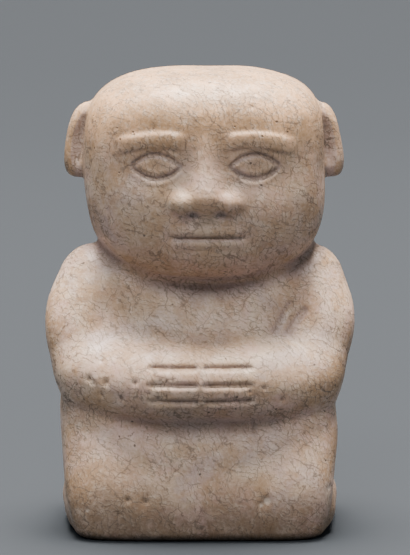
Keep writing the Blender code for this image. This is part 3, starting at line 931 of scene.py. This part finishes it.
def pale_stone():
    """Pale buff stone with fine dark strands, cracks, ochre and lavender stains and burial pits."""
    g = Graph("pale_stone")
    p = g.place
    cut, hollow, pit, chip = (g.attribute(name) for name in ("cut", "hollow", "pit", "chip"))
    across, depth, height = g.axes(p)
    outer = g.ramp(g.math("ABSOLUTE", across), OUTER_START, OUTER_END)
    weathered = g.math("MAXIMUM", outer, g.ramp(height, CROWN_START, CROWN_END))
    weathered = g.math("MAXIMUM", weathered, g.ramp(depth, 0.0, OUTER_END))

    broad = g.noise(g.warped(p, 14.0, 6.0, 1.3), 9.0, 3.0, 0.55, "Color")
    cloud, tan, lilac = g.channels(broad)
    speckle = g.noise(g.warped(p, 3.0, 1.0, 8.2), 1.5, 4.0, 0.66, "Color")
    mottle, chalk, rust = g.channels(speckle)
    patch = g.noise(g.shifted(p, 15.0), 4.5, 3.0, 0.6, "Color")
    first, second, third = g.channels(patch)

    colour = g.mix(g.ramp(cloud, 0.40, 0.60), BUFF, ROSE)
    colour = g.mix(g.product(g.ramp(lilac, 0.50, 0.64), 0.50), colour, LAVENDER)
    colour = g.mix(g.product(g.ramp(lilac, 0.47, 0.36), 0.50), colour, PINK)
    colour = g.mix(g.product(g.ramp(height, HONEY_START, HONEY_END), 0.85), colour, HONEY)
    stained = g.math("ADD", g.product(tan, 0.60), g.product(rust, 0.40))
    stain = g.math("ADD", g.product(weathered, 0.36), 0.56)
    colour = g.mix(g.product(g.ramp(stained, 0.43, 0.62), stain), colour, OCHRE)
    colour = g.mix(g.product(g.ramp(mottle, 0.52, 0.72), 0.50), colour, BROWN)
    colour = g.mix(g.product(g.ramp(third, 0.48, 0.64), stain, 0.80), colour, OCHRE)
    colour = g.mix(g.product(g.ramp(second, 0.54, 0.68), weathered, 0.60), colour, BROWN)
    colour = g.mix(g.product(g.ramp(chalk, 0.50, 0.70), 0.35), colour, CHALK)

    # The broad hollows are tinted lavender and darkened: partly the stone's own tint and partly
    # painted shade.
    colour = g.mix(g.product(g.ramp(hollow, 0.10, 0.50), 0.55), colour, LAVENDER)
    # Soil and painted shade darken the tight creases, patchily, where the near recess measure is
    # high.
    crease_soil_and_shade = g.product(g.ramp(cut, 0.12, 0.62), g.ramp(mottle, 0.30, 0.58))
    colour = g.mix(g.product(crease_soil_and_shade, 0.36), colour, SOIL_AND_SHADE)
    # Soil and painted shade darken the stone, patchily, towards the foot.
    foot_soil_and_shade = g.product(g.ramp(height, FOOT_SOIL_AND_SHADE, 0.0), g.ramp(stained, 0.30, 0.56))
    colour = g.mix(g.product(foot_soil_and_shade, 0.62), colour, SOIL_AND_SHADE)

    upright, upright_fibre_highlight = strands(g, p, (1.0, 0.6, 0.25), 1.05, 3.6, 2.0)
    level, level_fibre_highlight = strands(g, p, (0.3, 0.1, 1.0), 0.90, 3.6, 9.0)
    upright_share = g.ramp(first, 0.41, 0.54)
    level_share = g.ramp(second, 0.41, 0.54)
    fine = g.math("MAXIMUM", g.product(upright, upright_share), g.product(level, level_share))
    # The pale edge beside each strand is partly a whitish fibre and partly a painted highlight, as
    # on a lit groove edge.
    edge = g.math(
        "MAXIMUM", g.product(upright_fibre_highlight, upright_share), g.product(level_fibre_highlight, level_share)
    )
    broken = g.ramp(chalk, 0.37, 0.53)
    fine = g.product(fine, broken)
    colour = g.mix(g.product(edge, broken, 0.12), colour, CHALK)
    slanted = crack(g, p, (0.75, 0.2, 0.55), 2.9, 2.4, 0.13, 2.6, 5.0)
    counter = crack(g, p, (0.8, -0.3, -0.5), 3.7, 2.6, 0.14, 3.0, 17.0)
    long = crack(g, p, (0.35, 0.3, 1.0), 8.5, 2.0, 0.17, 4.5, 12.0)
    lines = g.math("MAXIMUM", g.product(fine, 0.68), g.product(slanted, 0.70))
    lines = g.math("MAXIMUM", lines, g.product(counter, 0.70))
    lines = g.math("MAXIMUM", lines, g.product(long, 0.72))
    lines = g.product(lines, g.math("ADD", g.product(weathered, 0.32), 0.92))
    colour = g.mix(lines, colour, CRACK)

    dots = g.cells(g.warped(p, 2.0, 0.4, 21.0), 2.2)
    chosen = g.ramp(g.channels(dots.outputs["Color"])[0], 0.66, 0.70)
    specks = g.product(g.ramp(dots.outputs["Distance"], 0.125, 0.070), chosen)
    colour = g.mix(g.product(specks, 0.80), colour, PIT)
    colour = g.mix(g.product(g.ramp(pit, 0.35, 0.95), 0.66), colour, PIT)
    colour = g.mix(g.product(g.ramp(chip, 0.30, 0.80), 0.60), colour, CHALK)
    tooth = g.noise(p, 0.42, 2.0, 0.7)
    colour = g.mix(g.product(g.ramp(tooth, 0.42, 0.70), stain, 0.32), colour, BROWN)
    colour = g.mix(g.product(g.ramp(tooth, 0.55, 0.30), stain, 0.26), colour, CHALK)
    g.set(g.shader.inputs["Base Color"], colour)

    rough = g.math("ADD", g.product(g.ramp(third, 0.40, 0.60), 0.14), 0.40)
    rough = g.math("ADD", rough, g.product(g.math("MAXIMUM", lines, crease_soil_and_shade), 0.25), clamp=True)
    g.set(g.shader.inputs["Roughness"], rough)

    grain = g.noise(p, 0.8, 3.0, 0.6)
    relief_height = g.math("ADD", g.product(grain, 0.5), g.product(first, 0.8))
    relief_height = g.math("SUBTRACT", relief_height, specks)
    bump = g.tree.nodes.new("ShaderNodeBump")
    bump.inputs["Strength"].default_value = 0.7
    bump.inputs["Distance"].default_value = BUMP_DEPTH
    g.set(bump.inputs["Height"], relief_height)
    g.set(g.shader.inputs["Normal"], bump.outputs[0])
    g.shader.inputs["Specular IOR Level"].default_value = 0.45
    return g.material


def dull(name, colour):
    material = bpy.data.materials.new(name)
    material.use_nodes = True
    shader = material.node_tree.nodes["Principled BSDF"]
    shader.inputs["Base Color"].default_value = colour
    shader.inputs["Roughness"].default_value = 1.0
    shader.inputs["Specular IOR Level"].default_value = 0.0
    return material


# Stage, light and camera

def stage():
    """A plain grey floor that curves up far behind."""
    bm = bmesh.new()
    bend = [(FLOOR_FRONT, 0.0), (FLOOR_BACK, 0.0)]
    for i in range(1, BEND_STEPS + 1):
        turn = math.radians(90) * i / BEND_STEPS
        rise = FLOOR_BEND * (1 - math.cos(turn))
        bend.append((FLOOR_BACK + FLOOR_BEND * math.sin(turn), rise))
    bend.append((FLOOR_BACK + FLOOR_BEND, FLOOR_WALL))
    rows = []
    for y, z in bend:
        rows.append([bm.verts.new((side * FLOOR_WIDTH, y, z)) for side in (-1, 1)])
    for near, far in zip(rows[:-1], rows[1:]):
        bm.faces.new((near[0], near[1], far[1], far[0]))
    mesh = bpy.data.meshes.new("floor")
    bm.to_mesh(mesh)
    bm.free()
    mesh.shade_smooth()
    floor = link("floor", mesh)
    floor.data.materials.append(dull("grey_floor", FLOOR_COLOUR))


def softbox(name, place, size, power, warmth):
    light = bpy.data.lights.new(name, "AREA")
    light.shape = "DISK"
    light.size = size
    light.energy = power
    light.color = warmth
    obj = link(name, light)
    obj.location = place
    obj.rotation_mode = "QUATERNION"
    obj.rotation_quaternion = (AIM - Vector(place)).to_track_quat("-Z", "Y")


def studio():
    world = bpy.data.worlds.new("studio")
    bpy.context.scene.world = world
    world.use_nodes = True
    background = world.node_tree.nodes["Background"]
    background.inputs["Color"].default_value = SKY_COLOUR
    background.inputs["Strength"].default_value = SKY_STRENGTH
    for name, place, size, power, warmth in SOFTBOXES:
        softbox(name, place, size, power, warmth)


def camera():
    """The photograph's view: nearly level, from a little above."""
    data = bpy.data.cameras.new("camera")
    data.sensor_width = SENSOR
    data.lens = CAMERA_DISTANCE * SENSOR / VIEW_HEIGHT
    data.clip_start = CLIP_START
    obj = link("camera", data)
    rise = math.radians(CAMERA_RISE)
    back = Vector((0.0, -math.cos(rise), math.sin(rise)))
    obj.location = CAMERA_TARGET + CAMERA_DISTANCE * back
    obj.rotation_mode = "QUATERNION"
    obj.rotation_quaternion = (-back).to_track_quat("-Z", "Y")
    bpy.context.scene.camera = obj


def main():
    carved_stone()
    stage()
    studio()
    camera()


main()
